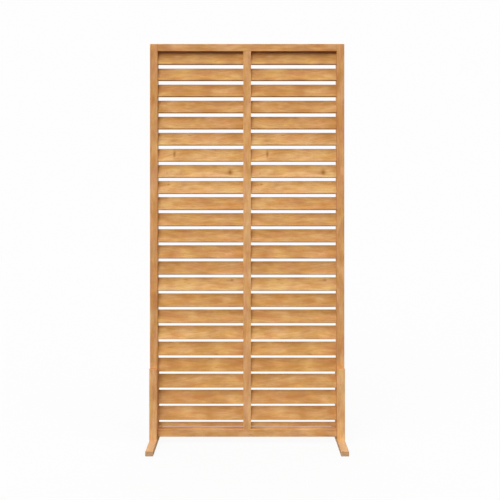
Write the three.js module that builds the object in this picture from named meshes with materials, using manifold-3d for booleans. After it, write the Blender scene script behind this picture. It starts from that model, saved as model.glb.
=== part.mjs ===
// Garden privacy screen: a free-standing hardwood frame with a mullion down its middle, two columns
// of fixed slats that lean back at the top, and a foot under each stile with a cheek before and
// behind it. The slats are held by round-ended tenons in slanted mortises.
// Millimetres, +Z up. X runs across the screen and the front faces -Y. The origin is on the ground,
// midway between the two feet and midway through the frame's depth.

import * as THREE from "three";
import { mergeVertices } from "three/addons/utils/BufferGeometryUtils.js";
import Module from "manifold-3d";

const wasm = await Module();
wasm.setup();

// Driving dimensions: overall
const screenWidth = 890;
const screenHeight = 1830;

// Frame
const frameDepth = 35;
const stileWidth = 35; // feet and cheeks are as wide, so the legs are flush with the stiles
const mullionWidth = 35;
const topRailHeight = 33;
const bottomRailHeight = 35;
const bottomRailLift = 31.5; // from the ground to the rail's underside
const railTenonLength = 20;
const railTenonThickness = 12;
const railTenonShoulder = 6; // above and below the tenon
const mullionTenonLength = 15;
const mullionTenonThickness = 12;
const mullionTenonShoulder = 6; // on each side of the tenon

// Slats
const slatRows = 24;
const slatWidth = 61.2;
const slatThickness = 10;
const slatLean = THREE.MathUtils.degToRad(19); // from upright, top edge back
const slatEase = 2; // radius of the long edges
const slatTenonLength = 11;
const slatTenonThickness = 6;
const slatTenonShoulder = 5; // above and below the tenon
const topSlatHeadroom = 1; // from the top slat to the top rail
const lastSlatShow = 25.2; // how far the lowest slat stands up above the bottom rail
const lastSlatDrain = 4.5; // from the lowest slat, ripped narrow, to the bottom rail

// Feet and cheeks
const footLength = 308;
const footHeight = 22.5;
const cheekThickness = 21;
const cheekHeight = 324.5;
const footTenonLength = 13;
const stileTenonSize = 22; // both ways
const cheekTenonWidth = 20;
const cheekTenonThickness = 9;

// Bores for the fasteners
const boltBore = 6.6;
const boltHeadBore = 13;
const boltHeadDepth = 8;
const boltInsertBore = 9;
const boltInsertDepth = 14;
const boltEndDistance = 70; // from each end of a cheek
const screwBore = 4.8;
const screwHeadBore = 10;
const screwHeadDepth = 3.5;

// Fits and edges
const shoulderGap = 0.3; // where one piece stands on or against another
const mortiseClearance = 0.3; // all round a tenon
const mortiseExtraDepth = 0.5; // past the tenon's end
const frameEase = 1.5; // radius of the long edges of stiles, rails and mullion
const legEase = 2.5; // radius of the long edges of feet and cheeks
const endEase = 1.2; // on the ends that show
const slatArcSteps = 1; // a corner's arc has twice as many chords
const boardArcSteps = 2;
const boreSides = 16;

// Places that follow from them
const bayWidth = (screenWidth - 2 * stileWidth - mullionWidth) / 2;
const bayCentre = (mullionWidth + bayWidth) / 2;
const stileCentre = (screenWidth - stileWidth) / 2;
const railLength = screenWidth - 2 * stileWidth - 2 * shoulderGap;
const bottomRailTop = bottomRailLift + bottomRailHeight;
const topRailUnderside = screenHeight - topRailHeight;
const cheekCentre = (frameDepth + cheekThickness) / 2 + shoulderGap;
const standHeight = footHeight + shoulderGap; // where stiles and cheeks stand
const boltHeights = [boltEndDistance, cheekHeight - boltEndDistance]; // above standHeight

const leanSin = Math.sin(slatLean);
const leanCos = Math.cos(slatLean);
const slatRise = (width) => width * leanCos + slatThickness * leanSin;
const lastSlatWidth = (lastSlatShow - lastSlatDrain - slatThickness * leanSin) / leanCos;
const topSlatTop = topRailUnderside - topSlatHeadroom;
const slatPitch = (topSlatTop - bottomRailTop - lastSlatShow) / (slatRows - 1);

// Each row's slat: how wide its board is, and where the board's centre lies. The lowest slat is in
// the plane of its own row, so ripping its lower edge moves its centre up and back.
function slatRow(row) {
  const width = row === slatRows ? lastSlatWidth : slatWidth;
  const top = topSlatTop - (row - 1) * slatPitch;
  const y = ((slatWidth - width) / 2) * leanSin;
  return { width, y, z: top - slatRise(width) / 2 };
}
const rows = Array.from({ length: slatRows }, (_, i) => slatRow(i + 1));

// Solids and meshes

function toSolid(geometry) {
  const bare = geometry.clone();
  bare.deleteAttribute("normal");
  bare.deleteAttribute("uv");
  const merged = mergeVertices(bare, 1e-4);
  const vertProperties = new Float32Array(merged.attributes.position.array);
  const triVerts = new Uint32Array(merged.index.array);
  return new wasm.Manifold(new wasm.Mesh({ numProp: 3, vertProperties, triVerts }));
}

function toGeometry(solid) {
  const { vertProperties, triVerts } = solid.getMesh();
  const indexed = new THREE.BufferGeometry();
  indexed.setAttribute("position", new THREE.BufferAttribute(vertProperties, 3));
  indexed.setIndex(new THREE.BufferAttribute(triVerts, 1));
  const geometry = indexed.toNonIndexed();
  geometry.computeVertexNormals();
  return geometry;
}

function woodMesh(name, geometry, colour) {
  const material = new THREE.MeshStandardMaterial({ color: colour, roughness: 0.62, metalness: 0 });
  const mesh = new THREE.Mesh(geometry, material);
  mesh.name = name;
  return mesh;
}

// Wood tones: the frame is even, and each row of slats is cut from its own board
const frameColour = new THREE.Color("#ce955b");
const legColour = new THREE.Color("#d29a60");
function slatColour(row) {
  const tone = 0.5 + 0.5 * Math.sin(row * 2.4);
  return new THREE.Color("#c88b52").lerp(new THREE.Color("#dca468"), tone);
}

// Profiles

function easedProfile(width, depth, ease) {
  const x = width / 2 - ease;
  const y = depth / 2 - ease;
  const shape = new THREE.Shape();
  shape.absarc(x, -y, ease, -Math.PI / 2, 0);
  shape.absarc(x, y, ease, 0, Math.PI / 2);
  shape.absarc(-x, y, ease, Math.PI / 2, Math.PI);
  shape.absarc(-x, -y, ease, Math.PI, 1.5 * Math.PI);
  return shape;
}

function roundEndedProfile(width, depth) {
  const radius = depth / 2;
  const x = width / 2 - radius;
  const shape = new THREE.Shape();
  shape.absarc(x, 0, radius, -Math.PI / 2, Math.PI / 2);
  shape.absarc(-x, 0, radius, Math.PI / 2, 1.5 * Math.PI);
  return shape;
}

// Boards run up from z = 0, with their profile's width on X and its depth on Y

function squareBoard(width, depth, length) {
  const options = { depth: length, bevelEnabled: false, curveSegments: boardArcSteps };
  return new THREE.ExtrudeGeometry(easedProfile(width, depth, frameEase), options);
}

function easedBoard(width, depth, length, ease) {
  const options = {
    depth: length - 2 * endEase,
    curveSegments: boardArcSteps,
    bevelSegments: 2,
    bevelThickness: endEase,
    bevelSize: endEase,
    bevelOffset: -endEase,
  };
  const profile = easedProfile(width, depth, ease);
  return new THREE.ExtrudeGeometry(profile, options).translate(0, 0, endEase);
}

// A board that stands square on its foot and is eased at its top end
function standingBoard(width, depth, length, ease) {
  const long = toSolid(easedBoard(width, depth, length + endEase, ease).translate(0, 0, -endEase));
  return long.subtract(toSolid(box(2 * width, 2 * depth, endEase, [0, 0, -endEase / 2])));
}

// A length of a profile along X, centred, with the profile's width standing on Z
function barAlongX(profile, length, steps) {
  const options = { depth: length, bevelEnabled: false, curveSegments: steps };
  const bar = new THREE.ExtrudeGeometry(profile, options);
  return bar.rotateY(Math.PI / 2).translate(-length / 2, 0, 0);
}

function box(x, y, z, centre) {
  return new THREE.BoxGeometry(x, y, z).translate(...centre);
}

function boreAlongY(diameter, length, centre) {
  const bore = new THREE.CylinderGeometry(diameter / 2, diameter / 2, length, boreSides);
  return bore.translate(...centre);
}

function boreAlongZ(diameter, length, centre) {
  const bore = new THREE.CylinderGeometry(diameter / 2, diameter / 2, length, boreSides);
  return bore.rotateX(Math.PI / 2).translate(...centre);
}

function cutAll(solid, cutters) {
  return cutters.reduce((left, cutter) => left.subtract(toSolid(cutter)), solid);
}

// A square-ended mortise, centred on the face that the tenon enters, so half of the cutter is waste
function mortiseCutter(x, y, z, centre, axis) {
  const size = [x, y, z].map((length, i) =>
    i === axis ? 2 * (length + mortiseExtraDepth) : length + 2 * mortiseClearance,
  );
  return box(...size, centre);
}

// Slats and their mortises

const slatTenonWidth = (width) => width - 2 * slatTenonShoulder;

function slat(width) {
  const length = bayWidth - 2 * shoulderGap;
  const body = barAlongX(easedProfile(width, slatThickness, slatEase), length, slatArcSteps);
  const tenons = roundEndedProfile(slatTenonWidth(width), slatTenonThickness);
  const tenonSpan = bayWidth + 2 * slatTenonLength;
  return toGeometry(toSolid(body).add(toSolid(barAlongX(tenons, tenonSpan, 2))));
}

// One slanted mortise for each row, in a face at x of a piece whose own origin is at height base
function slatMortises(x, base) {
  return rows.map(({ width, y, z }) => {
    const profile = roundEndedProfile(
      slatTenonWidth(width) + 2 * mortiseClearance,
      slatTenonThickness + 2 * mortiseClearance,
    );
    const cutter = barAlongX(profile, 2 * (slatTenonLength + mortiseExtraDepth), 2);
    return cutter.rotateX(-slatLean).translate(x, y, z - base);
  });
}

function slatColumn(name, x) {
  const column = new THREE.Group();
  const whole = slat(slatWidth);
  const ripped = slat(lastSlatWidth);
  rows.forEach(({ width, y, z }, i) => {
    const number = String(i + 1).padStart(2, "0");
    const geometry = width === lastSlatWidth ? ripped : whole;
    const mesh = woodMesh(`slat_${name}_${number}`, geometry, slatColour(i + 1));
    mesh.position.set(0, y, z);
    mesh.rotation.x = -slatLean;
    column.add(mesh);
  });
  column.position.x = x;
  return column;
}

// Frame

const railTenonHeight = (height) => height - 2 * railTenonShoulder;
const mullionTenonDepth = frameDepth - 2 * mullionTenonShoulder;

// side is -1 for the left stile and 1 for the right one; the inner face looks to the mullion
function stile(side) {
  const length = screenHeight - standHeight;
  const inner = (-side * stileWidth) / 2;
  const tenonSize = [stileTenonSize, stileTenonSize, 2 * footTenonLength];
  const board = standingBoard(stileWidth, frameDepth, length, frameEase);
  const body = board.add(toSolid(box(...tenonSize, [0, 0, 0])));
  const railMortise = (height, z) =>
    mortiseCutter(railTenonLength, railTenonThickness, railTenonHeight(height), [inner, 0, z], 0);
  return toGeometry(
    cutAll(body, [
      ...slatMortises(inner, standHeight),
      railMortise(topRailHeight, screenHeight - topRailHeight / 2 - standHeight),
      railMortise(bottomRailHeight, bottomRailLift + bottomRailHeight / 2 - standHeight),
      ...boltHeights.map((z) => boreAlongY(boltBore, 2 * frameDepth, [0, 0, z])),
    ]),
  );
}

// mullionSide is -1 where the mullion stands below the rail's face, and 1 where it stands above
function rail(height, mullionSide) {
  const body = squareBoard(height, frameDepth, railLength).rotateY(Math.PI / 2);
  const tenonSpan = screenWidth - 2 * stileWidth + 2 * railTenonLength;
  const tenons = box(tenonSpan, railTenonThickness, railTenonHeight(height), [0, 0, 0]);
  const seat = [0, 0, (mullionSide * height) / 2];
  const mortise = mortiseCutter(
    mullionTenonThickness,
    mullionTenonDepth,
    mullionTenonLength,
    seat,
    2,
  );
  const joined = toSolid(body.translate(-railLength / 2, 0, 0)).add(toSolid(tenons));
  return toGeometry(cutAll(joined, [mortise]));
}

function mullion() {
  const clear = topRailUnderside - bottomRailTop;
  const length = clear - 2 * shoulderGap;
  const body = toSolid(squareBoard(mullionWidth, frameDepth, length).translate(0, 0, shoulderGap));
  const tenonSize = [mullionTenonThickness, mullionTenonDepth, clear + 2 * mullionTenonLength];
  const tenons = toSolid(box(...tenonSize, [0, 0, clear / 2]));
  return toGeometry(
    cutAll(body.add(tenons), [
      ...slatMortises(-mullionWidth / 2, bottomRailTop),
      ...slatMortises(mullionWidth / 2, bottomRailTop),
    ]),
  );
}

function frame() {
  const group = new THREE.Group();
  const add = (name, geometry, x, z) => {
    const mesh = woodMesh(name, geometry, frameColour);
    mesh.position.set(x, 0, z);
    group.add(mesh);
  };
  add("stile_left", stile(-1), -stileCentre, standHeight);
  add("stile_right", stile(1), stileCentre, standHeight);
  add("rail_top", rail(topRailHeight, -1), 0, screenHeight - topRailHeight / 2);
  add("rail_bottom", rail(bottomRailHeight, 1), 0, bottomRailLift + bottomRailHeight / 2);
  add("mullion", mullion(), 0, bottomRailTop);
  return group;
}

// Legs

function cheek(bores) {
  const tenonSize = [cheekTenonWidth, cheekTenonThickness, 2 * footTenonLength];
  const body = standingBoard(stileWidth, cheekThickness, cheekHeight, legEase);
  return toGeometry(cutAll(body.add(toSolid(box(...tenonSize, [0, 0, 0]))), bores));
}

// The front cheek takes a threaded insert behind each bolt hole, so its face is unbroken
function frontCheek() {
  const innerFace = cheekThickness / 2;
  const pocket = (z) => boreAlongY(boltInsertBore, 2 * boltInsertDepth, [0, innerFace, z]);
  return cheek(boltHeights.map(pocket));
}

// The back cheek takes the bolt's shank and, in a counterbore, its head
function backCheek() {
  const outerFace = cheekThickness / 2;
  const shank = (z) => boreAlongY(boltBore, 2 * cheekThickness, [0, 0, z]);
  const head = (z) => boreAlongY(boltHeadBore, 2 * boltHeadDepth, [0, outerFace, z]);
  return cheek([...boltHeights.map(shank), ...boltHeights.map(head)]);
}

function foot() {
  const bar = easedBoard(stileWidth, footHeight, footLength, legEase);
  bar.translate(0, 0, -footLength / 2);
  const body = toSolid(bar.rotateX(-Math.PI / 2).translate(0, 0, footHeight / 2));
  const mortise = (width, depth, y) =>
    mortiseCutter(width, depth, footTenonLength, [0, y, footHeight], 2);
  const standing = [-cheekCentre, 0, cheekCentre];
  return toGeometry(
    cutAll(body, [
      mortise(stileTenonSize, stileTenonSize, 0),
      mortise(cheekTenonWidth, cheekTenonThickness, -cheekCentre),
      mortise(cheekTenonWidth, cheekTenonThickness, cheekCentre),
      ...standing.map((y) => boreAlongZ(screwBore, footHeight, [0, y, 0])),
      ...standing.map((y) => boreAlongZ(screwHeadBore, 2 * screwHeadDepth, [0, y, 0])),
    ]),
  );
}

function leg(name, x) {
  const group = new THREE.Group();
  const front = woodMesh(`cheek_front_${name}`, frontCheek(), legColour);
  const back = woodMesh(`cheek_back_${name}`, backCheek(), legColour);
  front.position.set(0, -cheekCentre, standHeight);
  back.position.set(0, cheekCentre, standHeight);
  group.add(woodMesh(`foot_${name}`, foot(), legColour), front, back);
  group.position.x = x;
  return group;
}

const screen = new THREE.Group();
screen.name = "garden_privacy_screen";
screen.add(frame());
screen.add(slatColumn("left", -bayCentre), slatColumn("right", bayCentre));
screen.add(leg("left", -stileCentre), leg("right", stileCentre));

export default screen;
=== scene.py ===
# Garden privacy screen in oiled hardwood: the finish of every board, the bank of leaning slats, and the
# bolts and screws that hold the legs. Metres, +Z up; the front of the screen faces -Y.

import math
import random

import bpy
import numpy as np
from mathutils import Matrix, Vector


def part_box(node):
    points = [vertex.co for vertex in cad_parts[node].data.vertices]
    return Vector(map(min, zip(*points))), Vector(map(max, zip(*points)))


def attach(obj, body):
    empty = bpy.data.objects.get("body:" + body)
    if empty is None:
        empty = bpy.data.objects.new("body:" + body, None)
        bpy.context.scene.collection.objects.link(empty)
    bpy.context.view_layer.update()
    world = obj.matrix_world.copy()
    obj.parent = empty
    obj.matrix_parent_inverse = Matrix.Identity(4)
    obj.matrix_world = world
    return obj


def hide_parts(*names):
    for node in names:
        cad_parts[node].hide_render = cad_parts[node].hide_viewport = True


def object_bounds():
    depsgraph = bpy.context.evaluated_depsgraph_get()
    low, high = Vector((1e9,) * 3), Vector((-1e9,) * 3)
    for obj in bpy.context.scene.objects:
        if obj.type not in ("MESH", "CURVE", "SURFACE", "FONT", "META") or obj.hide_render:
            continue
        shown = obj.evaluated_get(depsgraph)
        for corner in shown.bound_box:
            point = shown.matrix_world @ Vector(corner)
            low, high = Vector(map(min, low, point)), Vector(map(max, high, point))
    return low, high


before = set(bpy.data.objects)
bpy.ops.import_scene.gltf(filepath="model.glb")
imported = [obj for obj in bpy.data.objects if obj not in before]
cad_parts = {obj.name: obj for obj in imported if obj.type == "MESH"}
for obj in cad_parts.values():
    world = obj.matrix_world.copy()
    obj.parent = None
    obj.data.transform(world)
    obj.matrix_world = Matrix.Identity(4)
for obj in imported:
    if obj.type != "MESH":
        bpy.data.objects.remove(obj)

cad_low, cad_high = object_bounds()

MM = 0.001
PHOTO_SIDE = 500

# ---------------------------------------------------------------------------------------------
# Sizes: the joinery's own, and those that are read from the frame
# ---------------------------------------------------------------------------------------------

SHOULDER_GAP = 0.3 * MM  # between one piece and the piece it butts against
SLAT_EASE = 2 * MM  # the radius of a slat's long edges
SLAT_END_EASE = 0.4 * MM
SLAT_TENON_SHOULDER = 5 * MM
SLAT_TENON_THICKNESS = 6 * MM
TENON_FLAT = 0.04 * MM  # left between the two rounds of a tenon's edge
TENON_EASE = 0.8 * MM
CORNER_STEPS = 6

stile_low, stile_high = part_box("stile_left")
mullion_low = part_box("mullion")[0]
foot_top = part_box("foot_left")[1].z
cheek_low, cheek_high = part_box("cheek_back_left")
stand_height = foot_top + SHOULDER_GAP  # where stiles and cheeks stand
slat_nodes = [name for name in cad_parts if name.startswith("slat_")]
rows = sum(name.startswith("slat_left_") for name in slat_nodes)

bay_width = mullion_low.x - stile_high.x
bay_centre = (mullion_low.x + stile_high.x) / 2
stile_centre = (stile_low.x + stile_high.x) / 2
frame_front = stile_low.y


def slat_section(row):
    """Centre, width, thickness and lean of the slat in a row, measured on its node's own section."""
    places = np.array([v.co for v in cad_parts[f"slat_left_{row:02d}"].data.vertices])
    section = np.unique(places[:, 1:].round(6), axis=0)
    across = np.linalg.eigh(np.cov((section - section.mean(0)).T))[1][:, -1]
    across = across * np.sign(across[1])
    through = np.array([across[1], -across[0]])
    u, v = section @ across, section @ through
    centre = across * (u.max() + u.min()) / 2 + through * (v.max() + v.min()) / 2
    return {
        "length": np.ptp(places[:, 0]),
        "centre": centre,
        "width": np.ptp(u),
        "thickness": np.ptp(v),
        "lean": math.atan2(across[0], across[1]),
    }


top_slat, second_slat, ripped_slat = slat_section(1), slat_section(2), slat_section(rows)


# ---------------------------------------------------------------------------------------------
# Camera: level, square to the front, shifted to the photograph's framing
# ---------------------------------------------------------------------------------------------

CAMERA_DISTANCE = 2.89  # to the frame's front face
EYE_HEIGHT = 1.186
SCREEN_PIXELS = 194.45  # the width of the frame's front face in the picture
CENTRE_X, HORIZON_Y = 247.16, 184.6  # the picture's point straight ahead of the camera
SENSOR = 36.0


def make_camera():
    """Stands the camera in front of the screen, with the photograph's framing."""
    camera = bpy.data.cameras.new("camera")
    pixels_per_metre = SCREEN_PIXELS / (cad_high.x - cad_low.x)
    camera.sensor_width = SENSOR
    camera.lens = pixels_per_metre * CAMERA_DISTANCE * SENSOR / PHOTO_SIDE
    camera.shift_x = (PHOTO_SIDE / 2 - CENTRE_X) / PHOTO_SIDE
    camera.shift_y = (HORIZON_Y - PHOTO_SIDE / 2) / PHOTO_SIDE
    holder = bpy.data.objects.new("camera", camera)
    holder.location = (0, frame_front - CAMERA_DISTANCE, EYE_HEIGHT)
    holder.rotation_euler = (math.radians(90), 0, 0)
    bpy.context.scene.collection.objects.link(holder)
    bpy.context.scene.camera = holder


# ---------------------------------------------------------------------------------------------
# Node helpers
# ---------------------------------------------------------------------------------------------


def put(value, socket, links):
    """Links a socket or sets a plain value."""
    if isinstance(value, bpy.types.NodeSocket):
        links.new(value, socket)
    else:
        socket.default_value = value


class Nodes:
    """A node tree with one short method for each kind of node that the finishes use."""

    def __init__(self, tree):
        self.tree, self.links = tree, tree.links

    def add(self, kind, **settings):
        node = self.tree.nodes.new(kind)
        for key, value in settings.items():
            setattr(node, key, value)
        return node

    def maths(self, operation, a, b=0.0, c=0.0, clamp=False):
        node = self.add("ShaderNodeMath", operation=operation, use_clamp=clamp)
        for value, socket in zip((a, b, c), node.inputs):
            put(value, socket, self.links)
        return node.outputs[0]

    def vector(self, operation, a, b=(0, 0, 0)):
        node = self.add("ShaderNodeVectorMath", operation=operation)
        put(a, node.inputs[0], self.links)
        put(b, node.inputs[1], self.links)
        return node.outputs["Value" if operation in ("LENGTH", "DOT_PRODUCT") else 0]

    def split(self, vector):
        return self.add_linked("ShaderNodeSeparateXYZ", vector).outputs

    def vector_of(self, x=0.0, y=0.0, z=0.0):
        node = self.add("ShaderNodeCombineXYZ")
        for value, socket in zip((x, y, z), node.inputs):
            put(value, socket, self.links)
        return node.outputs[0]

    def add_linked(self, kind, source):
        node = self.add(kind)
        self.links.new(source, node.inputs[0])
        return node

    def noise(self, place, pace, detail=2.0, rough=0.5):
        """Noise from 0 to 1 about 0.5, which changes pace times in a metre on each axis."""
        node = self.add("ShaderNodeTexNoise")
        self.links.new(self.vector("MULTIPLY", place, pace), node.inputs["Vector"])
        node.inputs["Scale"].default_value = 1.0
        node.inputs["Detail"].default_value = detail
        node.inputs["Roughness"].default_value = rough
        return node.outputs["Fac"]

    def map_range(self, value, low, high, to_low=0.0, to_high=1.0, smooth=True):
        kind = "SMOOTHSTEP" if smooth else "LINEAR"
        node = self.add("ShaderNodeMapRange", interpolation_type=kind)
        for item, socket in zip((value, low, high, to_low, to_high), node.inputs):
            put(item, socket, self.links)
        return node.outputs[0]

    def mix(self, share, a, b, blend="MIX"):
        node = self.add("ShaderNodeMix", data_type="RGBA", blend_type=blend)
        put(share, node.inputs["Factor"], self.links)
        put(a, node.inputs[6], self.links)
        put(b, node.inputs[7], self.links)
        return node.outputs[2]

    def ramp(self, value, stops):
        node = self.add("ShaderNodeValToRGB")
        marks = node.color_ramp.elements
        while len(marks) < len(stops):
            marks.new(0.5)
        for mark, (position, colour) in zip(marks, stops):
            mark.position, mark.color = position, (*colour, 1)
        self.links.new(value, node.inputs[0])
        return node.outputs[0]


def linear(red, green, blue):
    """A colour on the 0-255 scale, as the linear light that shaders use."""
    def one(c):
        c = c / 255
        return c / 12.92 if c <= 0.04045 else ((c + 0.055) / 1.055) ** 2.4
    return (one(red), one(green), one(blue))


# ---------------------------------------------------------------------------------------------
# Oiled hardwood. In a board's own place X runs along the grain, Y across its face and Z through its
# thickness, from its middle. All boards are cut from one long log, whose pith lies on the X axis.
# ---------------------------------------------------------------------------------------------

DEEP_WOOD = linear(187, 129, 75)
WARM_WOOD = linear(209, 156, 100)
PALE_WOOD = linear(229, 184, 128)
KNOT_WOOD = linear(132, 80, 38)
RED_CAST = (1.035, 0.96, 0.95)
OLIVE_CAST = (0.97, 1.025, 0.95)
BUFF_CAST = (0.99, 1.0, 1.12)
GOLD_CAST = (1.01, 1.0, 0.88)
# Painted sheen: the feet are mixed towards this pale, whitish colour in place of the backdrop's reflection
# and the light from above on them
PAINTED_SHEEN_WOOD = linear(205, 184, 152)
RING_SPACING = 4.6 * MM
LOG_STEP = 1.9  # how far along the log the next board is cut
FIRST_FRAME_CUT = 40  # the frame's boards come after the slats' along the log
EDGE_WIDTH = 2.6 * MM
SWAY = 70 * MM  # how far the grain bends across a board
LIFT = 35 * MM  # and through its thickness
RING_RIPPLE = 12 * MM

# How often a pattern changes in a metre, along the grain and the two ways across it
SWAY_PACE = (2.4, 0, 0)
LIFT_PACE = (3.1, 1, 0)
RIPPLE_PACE = (7, 40, 40)
CAST_PACE = (7, 60, 60)
WARMTH_PACE = (11, 45, 45)
PORE_PACE = (70, 1500, 1500)
PIN_PACE = (11, 34, 34)

# Which part of a pattern's own 0 to 1 counts
CAST_RANGE = (0.34, 0.66)
PORE_RANGE = (0.6, 0.7)
PIN_RADII = (0.02, 0.17)
PIN_ODDS = 0.3
END_GRAIN_RANGE = (0.55, 0.95)

# How far each pattern darkens the wood, and edges lighten it; 1 is from the deepest to the palest
RING_WEIGHT = 0.06
PORE_WEIGHT = 0.42
PIN_WEIGHT = 0.4
END_WEIGHT = 0.5
KNOT_WEIGHT = 0.25
EDGE_WEIGHT = 0.03
END_SHEEN = 1.15  # how much more painted sheen a board's end takes than its faces

# The oiled surface
FIBRE_RELIEF, STREAK_RELIEF, PORE_RELIEF = 0.6, 0.5, -0.7
RELIEF_DEPTH = 0.3 * MM
RELIEF_STRENGTH = 0.45
OIL_ROUGHNESS = (0.6, 0.5)  # of the deepest and of the palest wood
FIBRE_ROUGHNESS = 0.14
END_ROUGHNESS = 0.15
OIL_SPECULAR = 0.16

# Layers of the figure: blobs per metre along and across the grain, octaves, how far each shades
LAYER_ROUGHNESS = 0.55
FIGURE_LAYERS = (
    (10, 40, 2.0, 1.15),  # streaks as wide as a finger
    (4, 260, 2.0, 0.4),  # fine streaks
    (10, 18, 2.0, 1.2),  # clouds
    (20, 800, 3.0, 0.7),  # fibres
)

# Knots: which board along the log, place along and across it, half its size both ways, how dark
KNOTS = (
    (6, -0.121, 0.003, 0.0055, 0.016, 0.65),
    (7, 0.136, -0.006, 0.009, 0.013, 0.6),
    (7, 0.124, -0.008, 0.028, 0.008, 0.3),
    (7, -0.155, -0.011, 0.003, 0.004, 0.35),
    (7, -0.089, -0.015, 0.003, 0.003, 0.3),
    (8, -0.148, 0.013, 0.006, 0.004, 0.45),
    (14, 0.144, 0.017, 0.007, 0.006, 0.5),
    (14, 0.131, 0.014, 0.014, 0.004, 0.25),
    (FIRST_FRAME_CUT + 7, 0.0995, 0.014, 0.003, 0.002, 0.5),
    (FIRST_FRAME_CUT + 8, 0.098, -0.002, 0.003, 0.002, 0.5),
)


def grain_place(n, place, cut):
    """A point's place in the log, with the slow bends that let streaks run off a board's edge."""
    inside = n.vector("ADD", place, cut)
    sway = n.maths("SUBTRACT", n.noise(inside, SWAY_PACE, 1.0), 0.5)
    lift = n.maths("SUBTRACT", n.noise(inside, LIFT_PACE, 1.0), 0.5)
    bend = n.vector_of(0.0, n.maths("MULTIPLY", sway, SWAY), n.maths("MULTIPLY", lift, LIFT))
    return n.vector("ADD", inside, bend)


def growth_rings(n, grain):
    """The late wood's lines, from -1 to 1."""
    ripple = n.maths("SUBTRACT", n.noise(grain, RIPPLE_PACE), 0.5)
    across = n.vector("LENGTH", n.vector("MULTIPLY", grain, (0, 1, 1)))
    radius = n.maths("MULTIPLY_ADD", ripple, RING_RIPPLE, across)
    return n.maths("SINE", n.maths("MULTIPLY", radius, 2 * math.pi / RING_SPACING))


def knot_share(n, place, cut):
    """How much of a knot's dark wood shows at a point, strongest in the knot's middle."""
    along = n.split(cut)[0]
    spot = n.vector("ADD", place, n.vector_of(along))
    total = 0.0
    for board, x, y, long, wide, dark in KNOTS:
        away = n.vector("SUBTRACT", spot, (board * LOG_STEP + x, y, 0))
        away = n.vector("MULTIPLY", away, (1 / long, 1 / wide, 0))
        share = n.maths("EXPONENT", n.maths("MULTIPLY", n.vector("DOT_PRODUCT", away, away), -1.0))
        total = n.maths("MULTIPLY_ADD", share, dark, total)
    return total


def pin_knots(n, grain):
    """1 in the pin knots that are strewn thinly over the boards."""
    cells = n.add("ShaderNodeTexVoronoi")
    cells.inputs["Scale"].default_value = 1.0
    n.links.new(n.vector("MULTIPLY", grain, PIN_PACE), cells.inputs["Vector"])
    near = n.map_range(cells.outputs["Distance"], *PIN_RADII, 1.0, 0.0)
    chosen = n.maths("GREATER_THAN", n.split(cells.outputs["Color"])[0], 1 - PIN_ODDS)
    return n.maths("MULTIPLY", near, chosen)


def edge_share(n, place, half):
    """1 along a board's edges, 0 on its faces."""
    inset = n.vector("SUBTRACT", half, n.vector("ABSOLUTE", place))
    x, y, z = (n.map_range(part, 0.0, EDGE_WIDTH, 1.0, 0.0) for part in n.split(inset))
    pairs = [n.maths("MULTIPLY", a, b) for a, b in ((x, y), (y, z), (z, x))]
    return n.maths("MAXIMUM", pairs[0], n.maths("MAXIMUM", pairs[1], pairs[2]))


def wood_shade(n, grain, tone, weighted):
    """How pale the wood is, from 0 to 1 about 0.5, and the layers of its figure."""
    shade = n.maths("ADD", 0.5, tone)
    layers = []
    for along, across, octaves, weight in FIGURE_LAYERS:
        layer = n.noise(grain, (along, across, across), octaves, LAYER_ROUGHNESS)
        layers.append(layer)
        shade = n.maths("MULTIPLY_ADD", n.maths("SUBTRACT", layer, 0.5), weight, shade)
    for pattern, weight in weighted:
        shade = n.maths("MULTIPLY_ADD", pattern, weight, shade)
    return shade, layers


def tinted(n, colour, share, first, second):
    """A colour in one cast, in another, or between them."""
    return n.mix(1.0, colour, n.mix(share, (*first, 1), (*second, 1)), "MULTIPLY")


def wood_colour(n, grain, shade, knots, end, painted_sheen, olive):
    """The shade's colour, drifting between casts, then paled by painted sheen and darkened by knots."""
    colour = n.ramp(shade, [(0.0, DEEP_WOOD), (0.5, WARM_WOOD), (1.0, PALE_WOOD)])
    cast = n.map_range(n.noise(grain, CAST_PACE), *CAST_RANGE)
    colour = tinted(n, colour, n.maths("ADD", cast, olive, clamp=True), RED_CAST, OLIVE_CAST)
    warmth = n.map_range(n.noise(grain, WARMTH_PACE), *CAST_RANGE)
    colour = tinted(n, colour, warmth, BUFF_CAST, GOLD_CAST)
    # Painted sheen: a share of the pale, whitish colour is mixed in, more on a board's end grain than on
    # its faces
    sheen_share = n.maths("MULTIPLY", painted_sheen, n.map_range(end, 0.0, 1.0, 1.0, END_SHEEN))
    colour = n.mix(sheen_share, colour, (*PAINTED_SHEEN_WOOD, 1))
    return n.mix(knots, colour, (*KNOT_WOOD, 1))


WOOD_INPUTS = (
    ("Place", "Vector"), ("Cut", "Vector"), ("Half", "Vector"), ("Tone", "Float"), ("End", "Float"),
    ("Bleach", "Float"), ("Olive", "Float"),
)
WOOD_OUTPUTS = (("Colour", "Color"), ("Roughness", "Float"), ("Relief", "Float"))


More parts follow.
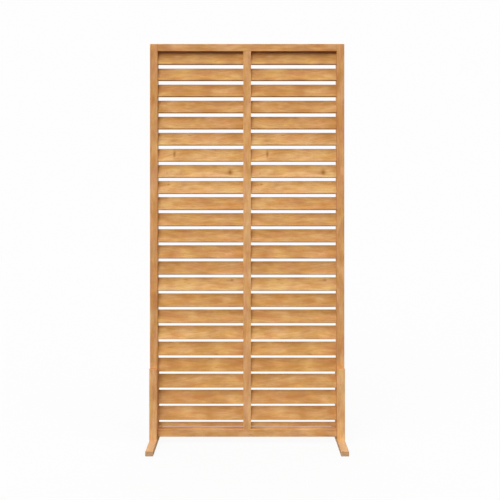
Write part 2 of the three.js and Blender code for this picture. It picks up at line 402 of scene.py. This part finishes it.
def wood_group():
    """The wood as a node group: a board's place, cut and tone in, its colour, gloss and relief out."""
    tree = bpy.data.node_groups.new("oiled_hardwood", "ShaderNodeTree")
    for label, kind in WOOD_INPUTS:
        tree.interface.new_socket(label, in_out="INPUT", socket_type="NodeSocket" + kind)
    for label, kind in WOOD_OUTPUTS:
        tree.interface.new_socket(label, in_out="OUTPUT", socket_type="NodeSocket" + kind)
    n = Nodes(tree)
    inside, out = n.add("NodeGroupInput"), n.add("NodeGroupOutput")
    place, cut, half, tone, end, painted_sheen, olive = (inside.outputs[label] for label, _ in WOOD_INPUTS)

    grain = grain_place(n, place, cut)
    knots = knot_share(n, place, cut)
    pores = n.map_range(n.noise(grain, PORE_PACE, 1.0), *PORE_RANGE)
    weighted = (
        (growth_rings(n, grain), RING_WEIGHT),
        (pores, -PORE_WEIGHT),
        (pin_knots(n, grain), -PIN_WEIGHT),
        (end, -END_WEIGHT),
        (knots, -KNOT_WEIGHT),
        (edge_share(n, place, half), EDGE_WEIGHT),
    )
    shade, (_, streaks, _, fibres) = wood_shade(n, grain, tone, weighted)
    colour = wood_colour(n, grain, shade, knots, end, painted_sheen, olive)

    relief = n.maths("MULTIPLY_ADD", fibres, FIBRE_RELIEF, n.maths("MULTIPLY", streaks, STREAK_RELIEF))
    relief = n.maths("MULTIPLY_ADD", pores, PORE_RELIEF, relief)
    gloss = n.map_range(shade, 0.0, 1.0, *OIL_ROUGHNESS, smooth=False)
    gloss = n.maths("MULTIPLY_ADD", fibres, FIBRE_ROUGHNESS, gloss)
    gloss = n.maths("MULTIPLY_ADD", end, END_ROUGHNESS, gloss)
    for value, socket in zip((colour, gloss, relief), out.inputs):
        n.links.new(value, socket)
    return tree


def finish_wood(material, group, **inputs):
    """Wires the wood group into a satin oiled surface."""
    n = Nodes(material.node_tree)
    shader = material.node_tree.nodes["Principled BSDF"]
    figure = n.add("ShaderNodeGroup", node_tree=group)
    for label, value in inputs.items():
        put(value, figure.inputs[label], n.links)
    bump = n.add("ShaderNodeBump")
    bump.inputs["Strength"].default_value = RELIEF_STRENGTH
    bump.inputs["Distance"].default_value = RELIEF_DEPTH
    n.links.new(figure.outputs["Relief"], bump.inputs["Height"])
    n.links.new(bump.outputs[0], shader.inputs["Normal"])
    n.links.new(figure.outputs["Colour"], shader.inputs["Base Color"])
    n.links.new(figure.outputs["Roughness"], shader.inputs["Roughness"])
    shader.inputs["Specular IOR Level"].default_value = OIL_SPECULAR


def new_material(name):
    material = bpy.data.materials.new(name)
    material.use_nodes = True
    return material


def end_grain(n, grain):
    """1 where the surface faces along the grain, so it shows cut fibre ends."""
    normal = n.add("ShaderNodeNewGeometry").outputs["True Normal"]
    along = n.maths("ABSOLUTE", n.vector("DOT_PRODUCT", normal, grain))
    return n.map_range(along, *END_GRAIN_RANGE)


# How a board lies in the screen: rows that turn its place into along, across and through
BOARD_TURNS = {
    "upright": ((0, 0, 1), (1, 0, 0), (0, 1, 0)),
    "level": ((1, 0, 0), (0, 0, 1), (0, -1, 0)),
    "flat": ((0, 1, 0), (-1, 0, 0), (0, 0, 1)),
}
FRAME_BOARDS = (  # node, how it lies, how much paler than the run of boards, how much painted sheen it takes
    ("stile_left", "upright", -0.04, 0.0),
    ("stile_right", "upright", -0.06, 0.0),
    ("mullion", "upright", 0.17, 0.0),
    ("rail_top", "level", 0.0, 0.0),
    ("rail_bottom", "level", 0.14, 0.0),
    # The feet take painted sheen, a pale mix that stands in for the backdrop's reflection and the top
    # light
    ("foot_left", "flat", -0.03, 0.35),
    ("foot_right", "flat", 0.03, 0.35),
    ("cheek_front_left", "upright", 0.22, 0.0),
    ("cheek_front_right", "upright", 0.32, 0.0),
    ("cheek_back_left", "upright", 0.1, 0.0),
    ("cheek_back_right", "upright", 0.05, 0.0),
)
FRAME_OLIVE = -0.35  # how far the casts shift, towards red below 0 and towards olive above
FRAME_SEED = 11
FRAME_CUT_ACROSS = (-20 * MM, 20 * MM)  # where in the log a board's middle lies
FRAME_CUT_FROM_PITH = (40 * MM, 90 * MM)


def board_material(node, group, lie, cut, tone, painted_sheen):
    """The finish of one board of the frame or legs, cut from its own place in the log."""
    material = new_material(f"oiled_{node}")
    n = Nodes(material.node_tree)
    low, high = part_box(node)
    turn = Matrix(BOARD_TURNS[lie])
    centring = n.add_linked("ShaderNodeMapping", n.add("ShaderNodeTexCoord").outputs["Object"])
    centring.inputs["Rotation"].default_value = turn.to_euler("XYZ")
    centring.inputs["Location"].default_value = -(turn @ ((low + high) / 2))
    half = [abs(side) for side in turn @ ((high - low) / 2)]
    end = end_grain(n, BOARD_TURNS[lie][0])
    finish_wood(
        material, group, Place=centring.outputs[0], Cut=cut, Half=half, Tone=tone, End=end, Bleach=painted_sheen,
        Olive=FRAME_OLIVE,
    )
    return material


def finish_frame_boards(group):
    """Gives each frame board, foot and cheek a finish of its own."""
    draw = random.Random(FRAME_SEED)
    for i, (node, lie, tone, painted_sheen) in enumerate(FRAME_BOARDS):
        along = LOG_STEP * (FIRST_FRAME_CUT + i)
        cut = (along, draw.uniform(*FRAME_CUT_ACROSS), draw.uniform(*FRAME_CUT_FROM_PITH))
        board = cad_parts[node]
        board.data.materials.clear()
        board.data.materials.append(board_material(node, group, lie, cut, tone, painted_sheen))


# ---------------------------------------------------------------------------------------------
# Slats
# ---------------------------------------------------------------------------------------------

SLAT_OLIVE = 0.3
SLAT_SEED = 7
SLAT_CHANCES = (  # a slat's place in the log across and from the pith, and its tone
    (-18 * MM, 18 * MM), (30 * MM, 85 * MM), (-0.06, 0.06),
)
SLAT_TONE = -0.2  # how much paler the slats are than the run of boards
PALE_BATCHES = (  # first and last row from a batch of paler boards, and how much paler it is
    (6, 12, 0.15), (7, 9, 0.15), (15, 15, 0.25), (17, 19, 0.1),
)


def rounded_ring(x, width, thickness, radius):
    """A ring of points round a rounded rectangle that stands square to the X axis."""
    points = []
    for side_u, side_v, start in ((1, 1, 0), (-1, 1, 90), (-1, -1, 180), (1, -1, 270)):
        u, v = side_u * (width / 2 - radius), side_v * (thickness / 2 - radius)
        for step in range(CORNER_STEPS + 1):
            angle = math.radians(start + 90 * step / CORNER_STEPS)
            points.append((x, u + radius * math.cos(angle), v + radius * math.sin(angle)))
    return points


def skin(name, rings):
    """A closed mesh through rings that all have the same number of points."""
    count = len(rings[0])
    points = [p for ring in rings for p in ring]
    faces = [tuple(range(count))[::-1]]
    for r in range(len(rings) - 1):
        a, b = r * count, (r + 1) * count
        for i in range(count):
            j = (i + 1) % count
            faces.append((a + i, a + j, b + j, b + i))
    faces.append(tuple(range((len(rings) - 1) * count, len(rings) * count)))
    mesh = bpy.data.meshes.new(name)
    mesh.from_pydata(points, [], faces)
    mesh.validate()
    return mesh


def slat_board(name, slat):
    """One slat along X with a round-ended tenon at each end; Y is its width and Z its thickness."""
    width, thickness = slat["width"], slat["thickness"]
    shoulder = bay_width / 2 - SHOULDER_GAP
    tip = slat["length"] / 2
    tenon_round = (SLAT_TENON_THICKNESS - TENON_FLAT) / 2
    tenon = (width - 2 * SLAT_TENON_SHOULDER, SLAT_TENON_THICKNESS, tenon_round)
    inset = 2 * SLAT_END_EASE
    half = [
        rounded_ring(shoulder - SLAT_END_EASE, width, thickness, SLAT_EASE),
        rounded_ring(shoulder, width - inset, thickness - inset, SLAT_EASE - SLAT_END_EASE),
        rounded_ring(shoulder, *tenon),
        rounded_ring(tip - TENON_EASE, *tenon),
        rounded_ring(tip, *(size - 2 * TENON_EASE for size in tenon[:2]), tenon_round - TENON_EASE),
    ]
    mirrored = [[(-x, y, z) for x, y, z in ring] for ring in reversed(half)]
    mesh = skin(name, mirrored + half)
    extent = (shoulder, width / 2, thickness / 2)
    kept = {"place": [v.co for v in mesh.vertices], "half": [extent] * len(mesh.vertices)}
    for label, values in kept.items():
        attribute = mesh.attributes.new(label, "FLOAT_VECTOR", "POINT")
        attribute.data.foreach_set("vector", [c for value in values for c in value])
    board = bpy.data.objects.new(name, mesh)
    bpy.context.scene.collection.objects.link(board)
    return board


class Tree:
    """A geometry node tree built in short steps."""

    def __init__(self, name):
        self.tree = bpy.data.node_groups.new(name, "GeometryNodeTree")
        self.tree.interface.new_socket("Geometry", in_out="OUTPUT", socket_type="NodeSocketGeometry")
        self.inputs = {}
        self.group_in = self.tree.nodes.new("NodeGroupInput")
        self.group_out = self.tree.nodes.new("NodeGroupOutput")

    def ask(self, name, kind):
        """A named input of the tree."""
        made = self.tree.interface.new_socket(name, in_out="INPUT", socket_type="NodeSocket" + kind)
        self.inputs[name] = made.identifier
        return self.group_in.outputs[name]

    def add(self, kind, wires=(), **settings):
        node = self.tree.nodes.new(kind)
        for key, value in settings.items():
            setattr(node, key, value)
        for socket, value in dict(wires).items():
            put(value, node.inputs[socket], self.tree.links)
        return node

    def vector(self, x=0.0, y=0.0, z=0.0):
        return self.add("ShaderNodeCombineXYZ", {0: x, 1: y, 2: z}).outputs[0]

    def maths(self, operation, a, b=0.0):
        return self.add("ShaderNodeMath", {0: a, 1: b}, operation=operation).outputs[0]

    def join(self, *parts):
        node = self.add("GeometryNodeJoinGeometry")
        for part in parts:
            self.tree.links.new(part, node.inputs[0])
        return node.outputs[0]

    def store(self, geometry, name, kind, domain, value):
        wires = {"Geometry": geometry, "Name": name, "Value": value}
        return self.add("GeometryNodeStoreNamedAttribute", wires, data_type=kind, domain=domain).outputs[0]

    def both_sides(self, geometry, reach):
        """The geometry twice, moved right and left by the same distance."""
        copies = []
        for side in (1.0, -1.0):
            shift = self.vector(x=self.maths("MULTIPLY", reach, side))
            wires = {"Geometry": geometry, "Translation": shift}
            copies.append(self.add("GeometryNodeTransform", wires).outputs[0])
        return self.join(*copies)

    def finish(self, geometry, material):
        real = self.add("GeometryNodeRealizeInstances", {0: geometry}).outputs[0]
        done = self.add("GeometryNodeSetMaterial", {"Geometry": real, "Material": material}).outputs[0]
        self.tree.links.new(done, self.group_out.inputs[0])


def slat_column(t):
    """Rows of slats down the screen's middle: the whole ones, and the ripped one at the foot."""
    board, ripped = t.ask("Slat", "Object"), t.ask("Ripped Slat", "Object")
    count, pitch, lean = t.ask("Rows", "Int"), t.ask("Pitch", "Float"), t.ask("Lean", "Float")
    first, last = t.ask("First Centre", "Vector"), t.ask("Last Centre", "Vector")

    down = t.vector(z=t.maths("MULTIPLY", pitch, -1.0))
    line = t.add("GeometryNodeMeshLine", {"Count": count, "Start Location": first, "Offset": down})
    index = t.add("GeometryNodeInputIndex").outputs[0]  # the last row's is one below the count
    is_last = t.maths("GREATER_THAN", index, t.maths("SUBTRACT", count, 1.5))
    wires = {"Geometry": line.outputs[0], "Selection": is_last, "Position": last}
    points = t.add("GeometryNodeSetPosition", wires).outputs[0]
    turn = t.vector(x=t.maths("SUBTRACT", math.pi / 2, lean))
    parts = []
    for source, chosen in ((board, t.maths("SUBTRACT", 1.0, is_last)), (ripped, is_last)):
        shape = t.add("GeometryNodeObjectInfo", {"Object": source}).outputs["Geometry"]
        wires = {"Points": points, "Selection": chosen, "Instance": shape, "Rotation": turn}
        parts.append(t.add("GeometryNodeInstanceOnPoints", wires).outputs[0])
    rows_of_parts = (index, t.maths("ADD", index, t.maths("SUBTRACT", count, 1.0)))
    return zip(parts, rows_of_parts)


def batch_tone(t, row):
    """How much paler a row's board is; the tree counts its rows from 0 and the batches from 1."""
    total = SLAT_TONE
    for first, last, gain in PALE_BATCHES:
        begun = t.maths("GREATER_THAN", row, first - 1.5)
        going = t.maths("LESS_THAN", row, last - 0.5)
        total = t.maths("ADD", total, t.maths("MULTIPLY", t.maths("MULTIPLY", begun, going), gain))
    return total


def louvre_bank():
    """Two bays of slats. The two slats of a row are cut alike, from that row's place in the log."""
    t = Tree("louvre_bank")
    column = slat_column(t)
    bay, step = t.ask("Bay Centre", "Float"), t.ask("Log Step", "Float")
    seed, material = t.ask("Seed", "Int"), t.ask("Material", "Material")
    marked = []
    for part, row in column:
        chance = []
        for channel, (low, high) in enumerate(SLAT_CHANCES):
            salt = t.maths("ADD", t.maths("MULTIPLY", seed, float(len(SLAT_CHANCES))), float(channel))
            wires = {2: low, 3: high, "ID": row, "Seed": salt}
            chance.append(t.add("FunctionNodeRandomValue", wires, data_type="FLOAT").outputs[1])
        cut = t.vector(t.maths("MULTIPLY", row, step), chance[0], chance[1])
        tone = t.maths("ADD", chance[2], batch_tone(t, row))
        stored = t.store(part, "cut", "FLOAT_VECTOR", "INSTANCE", cut)
        marked.append(t.store(stored, "tone", "FLOAT", "INSTANCE", tone))
    t.finish(t.both_sides(t.join(*marked), bay), material)
    return t


def grow(name, tree, values):
    """Runs a tree once and returns its result as a plain mesh object."""
    holder = bpy.data.objects.new(name + "_grower", bpy.data.meshes.new(name))
    bpy.context.scene.collection.objects.link(holder)
    modifier = holder.modifiers.new(name, "NODES")
    modifier.node_group = tree.tree
    for label, value in values.items():
        modifier[tree.inputs[label]] = value
    ready = holder.evaluated_get(bpy.context.evaluated_depsgraph_get())
    mesh = bpy.data.meshes.new_from_object(ready)
    mesh.name = name
    bpy.data.objects.remove(holder)
    piece = bpy.data.objects.new(name, mesh)
    bpy.context.scene.collection.objects.link(piece)
    return piece


def slat_material(group):
    """Oiled wood that follows each slat: its place on the slat and the cut of its row."""
    material = new_material("oiled_slats")
    n = Nodes(material.node_tree)
    def read(name, output="Vector"):
        return n.add("ShaderNodeAttribute", attribute_name=name).outputs[output]
    end = end_grain(n, (1, 0, 0))
    tone = read("tone", "Fac")
    finish_wood(
        material, group, Place=read("place"), Cut=read("cut"), Half=read("half"), Tone=tone, End=end,
        Olive=SLAT_OLIVE,
    )
    return material


def smooth_by_angle(mesh, degrees=30):
    mesh.shade_smooth()
    mesh.set_sharp_from_angle(angle=math.radians(degrees))


def weight_normals(piece):
    """Keeps wide flat faces flat where they run into eased edges."""
    modifier = piece.modifiers.new("weighted", "WEIGHTED_NORMAL")
    modifier.keep_sharp = True
    ready = piece.evaluated_get(bpy.context.evaluated_depsgraph_get())
    mesh = bpy.data.meshes.new_from_object(ready)
    piece.modifiers.clear()
    piece.data = mesh


def make_slats(group):
    """The bank of slats, which stands for the slat nodes and lies where they lie."""
    board, ripped = slat_board("slat_board", top_slat), slat_board("ripped_board", ripped_slat)
    values = {
        "Slat": board,
        "Ripped Slat": ripped,
        "Rows": rows,
        "Pitch": float(top_slat["centre"][1] - second_slat["centre"][1]),
        "Lean": top_slat["lean"],
        "First Centre": (0.0, *map(float, top_slat["centre"])),
        "Last Centre": (0.0, *map(float, ripped_slat["centre"])),
        "Bay Centre": bay_centre,
        "Log Step": LOG_STEP,
        "Seed": SLAT_SEED,
        "Material": slat_material(group),
    }
    slats = grow("slats", louvre_bank(), values)
    for pattern in (board, ripped):
        bpy.data.objects.remove(pattern)
    smooth_by_angle(slats.data)
    weight_normals(slats)
    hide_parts(*slat_nodes)
    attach(slats, "root")


# ---------------------------------------------------------------------------------------------
# Bolts through the cheeks and screws under the feet, in zinc-plated steel
# ---------------------------------------------------------------------------------------------

ZINC = linear(188, 188, 184)
FASTENER_SIDES = 36
BOLT_END_DISTANCE = 70 * MM
BOLTS_PER_LEG = 2
BOLT_SEAT_DEPTH = 8 * MM  # of the counterbore in a back cheek
BOLT_SOCKET = (2.5 * MM, 3.2 * MM)  # half across flats, depth
BOLT_OUTLINE = (  # radius and height above the seat, in mm, from the tip to the crown
    (2.5, -58), (3.0, -57.3), (3.0, 0), (6.2, 0), (6.2, 1.0), (6.0, 1.2), (5.0, 1.2), (5.0, 6.6),
    (4.4, 7.2),
)
SCREWS_PER_FOOT = 3
SCREW_SEAT_DEPTH = 3.5 * MM
SCREW_SOCKET = (1.9 * MM, 1.5 * MM)  # radius, depth
SCREW_OUTLINE = (
    (0.4, -45), (1.7, -40), (1.7, -20), (2.2, -19), (2.2, 0), (4.4, 0), (4.3, 1.1), (3.6, 2.0),
    (2.6, 2.5),
)
SCREW_LOBES, LOBE_HEIGHT = 6, 0.13  # of the screw's star socket
ZINC_SPECKS, ZINC_CLOUDS = 900, 120  # in a metre
ZINC_RANGE = (0.3, 0.7)  # the part of their noise that counts
ZINC_TONES = (0.82, 1.0)
ZINC_ROUGHNESS = (0.24, 0.4)


def turned_ring(height, radius, shape=lambda angle: 1.0):
    """A level ring of points, round unless a shape says how far out each angle reaches."""
    ring = []
    for i in range(FASTENER_SIDES):
        angle = 2 * math.pi * i / FASTENER_SIDES
        reach = radius * shape(angle)
        ring.append((reach * math.cos(angle), reach * math.sin(angle), height))
    return ring


def hexagon(angle):
    """A hexagon whose flats are 1 from its middle."""
    return 1 / math.cos(angle % (math.pi / 3) - math.pi / 6)


def star(angle):
    """A round of shallow lobes."""
    return 1 + LOBE_HEIGHT * math.cos(SCREW_LOBES * angle)


def fastener(name, outline, socket, shape):
    """A turned pin with a driver's socket in its crown; its head faces up and its seat is at zero."""
    rings = [turned_ring(height * MM, radius * MM) for radius, height in outline]
    crown = outline[-1][1] * MM
    size, depth = socket
    rings += [turned_ring(crown, size, shape), turned_ring(crown - depth, size, shape)]
    mesh = skin(name, rings)
    pin = bpy.data.objects.new(name, mesh)
    bpy.context.scene.collection.objects.link(pin)
    return pin


def pin_rows():
    """A row of pins on each leg."""
    t = Tree("pin_rows")
    pin, count = t.ask("Pin", "Object"), t.ask("Count", "Int")
    start, step, turn = t.ask("Start", "Vector"), t.ask("Step", "Vector"), t.ask("Turn", "Vector")
    leg, material = t.ask("Leg Centre", "Float"), t.ask("Material", "Material")
    line = t.add("GeometryNodeMeshLine", {"Count": count, "Start Location": start, "Offset": step})
    shape = t.add("GeometryNodeObjectInfo", {"Object": pin}).outputs["Geometry"]
    wires = {"Points": line.outputs[0], "Instance": shape, "Rotation": turn}
    row = t.add("GeometryNodeInstanceOnPoints", wires).outputs[0]
    t.finish(t.both_sides(row, leg), material)
    return t


def zinc_material():
    material = new_material("zinc_plate")
    n = Nodes(material.node_tree)
    shader = material.node_tree.nodes["Principled BSDF"]
    spot = n.add("ShaderNodeTexCoord").outputs["Object"]
    specks = n.noise(spot, [ZINC_SPECKS] * 3, 3.0)
    clouds = n.noise(spot, [ZINC_CLOUDS] * 3)
    tone = n.map_range(clouds, *ZINC_RANGE, *ZINC_TONES)
    colour = n.mix(1.0, (*ZINC, 1), n.vector_of(tone, tone, tone), "MULTIPLY")
    n.links.new(colour, shader.inputs["Base Color"])
    n.links.new(n.map_range(specks, *ZINC_RANGE, *ZINC_ROUGHNESS), shader.inputs["Roughness"])
    shader.inputs["Metallic"].default_value = 1.0
    return material


def make_fasteners():
    """Bolts through each leg's back cheek and stile, and screws up through each foot."""
    low_bolt, high_bolt = stand_height + BOLT_END_DISTANCE, cheek_high.z - BOLT_END_DISTANCE
    cheek_middle = (cheek_low.y + cheek_high.y) / 2  # the outer screws go up into the cheeks' middles
    bolts = {
        "Pin": fastener("bolt", BOLT_OUTLINE, BOLT_SOCKET, hexagon),
        "Count": BOLTS_PER_LEG,
        "Start": (0, cheek_high.y - BOLT_SEAT_DEPTH, low_bolt),
        "Step": (0, 0, (high_bolt - low_bolt) / (BOLTS_PER_LEG - 1)),
        "Turn": (-math.pi / 2, 0, 0),
    }
    screws = {
        "Pin": fastener("screw", SCREW_OUTLINE, SCREW_SOCKET, star),
        "Count": SCREWS_PER_FOOT,
        "Start": (0, -cheek_middle, SCREW_SEAT_DEPTH),
        "Step": (0, 2 * cheek_middle / (SCREWS_PER_FOOT - 1), 0),
        "Turn": (math.pi, 0, 0),
    }
    common = {"Leg Centre": abs(stile_centre), "Material": zinc_material()}
    for name, values in (("leg_bolts", bolts), ("foot_screws", screws)):
        piece = grow(name, pin_rows(), {**values, **common})
        bpy.data.objects.remove(values["Pin"])
        smooth_by_angle(piece.data)
        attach(piece, "root")


# ---------------------------------------------------------------------------------------------
# Studio
# ---------------------------------------------------------------------------------------------

FLOOR_SIZE = 14.0
FLOOR_TONE = 0.05
WHITE = 0.988  # the backdrop, as the camera sees it
GLOSS_SHARE = 0.4  # how much of that white the gloss shows
FLOOR_GLOW = 0.92  # what the floor adds to its own tone to reach that white
AMBIENT = 0.055
SOFT_LIGHTS = (  # name, azimuth from straight ahead towards +X, elevation, how wide, how strong
    ("key", -20, 30, 50, 0.6),
    ("left", -65, 13, 50, 0.25),
    ("right", 65, 13, 50, 0.25),
    ("side_left", -60, 50, 34, 0.24),
    ("side_right", 60, 50, 34, 0.2),
    ("overhead", 0, 86, 40, 0.28),
    ("back_left", -150, 20, 50, 0.4),
    ("back_right", 150, 20, 50, 0.36),
)


def seen_directly(n):
    """1 for rays from the camera or through glass, less for what gloss shows, 0 for other light."""
    path = n.add("ShaderNodeLightPath").outputs
    through = n.maths("MAXIMUM", path["Is Camera Ray"], path["Is Transmission Ray"])
    return n.maths("MAXIMUM", through, n.maths("MULTIPLY", path["Is Glossy Ray"], GLOSS_SHARE))


def white_world():
    world = bpy.data.worlds.new("studio")
    world.use_nodes = True
    world.cycles.sampling_method = "NONE"
    bpy.context.scene.world = world
    n = Nodes(world.node_tree)
    background = world.node_tree.nodes["Background"]
    background.inputs["Color"].default_value = (1, 1, 1, 1)
    strength = n.map_range(seen_directly(n), 0.0, 1.0, AMBIENT, WHITE, smooth=False)
    n.links.new(strength, background.inputs["Strength"])


def pale_floor():
    bpy.ops.mesh.primitive_plane_add(size=FLOOR_SIZE)
    floor = bpy.context.active_object
    floor.name = "floor"
    material = new_material("floor")
    n = Nodes(material.node_tree)
    shader = material.node_tree.nodes["Principled BSDF"]
    shader.inputs["Base Color"].default_value = (FLOOR_TONE, FLOOR_TONE, FLOOR_TONE, 1)
    shader.inputs["Roughness"].default_value = 1.0
    shader.inputs["Specular IOR Level"].default_value = 0.0
    shader.inputs["Emission Color"].default_value = (1, 1, 1, 1)
    glow = n.maths("MULTIPLY", seen_directly(n), FLOOR_GLOW)
    n.links.new(glow, shader.inputs["Emission Strength"])
    floor.data.materials.append(material)


def soft_light(name, azimuth, elevation, angle, strength):
    """A broad, even light from far away."""
    lamp = bpy.data.lights.new(name, "SUN")
    lamp.energy, lamp.angle = math.pi * strength, math.radians(angle)
    holder = bpy.data.objects.new(name, lamp)
    a, e = math.radians(azimuth), math.radians(elevation)
    way = Vector((math.sin(a) * math.cos(e), -math.cos(a) * math.cos(e), math.sin(e)))
    holder.rotation_euler = way.to_track_quat("Z", "Y").to_euler()
    holder.visible_glossy = False
    bpy.context.scene.collection.objects.link(holder)


def studio():
    white_world()
    pale_floor()
    for light in SOFT_LIGHTS:
        soft_light(*light)


make_camera()
studio()
oiled_hardwood = wood_group()
finish_frame_boards(oiled_hardwood)
make_slats(oiled_hardwood)
make_fasteners()

bpy.context.scene.view_settings.view_transform = "Standard"
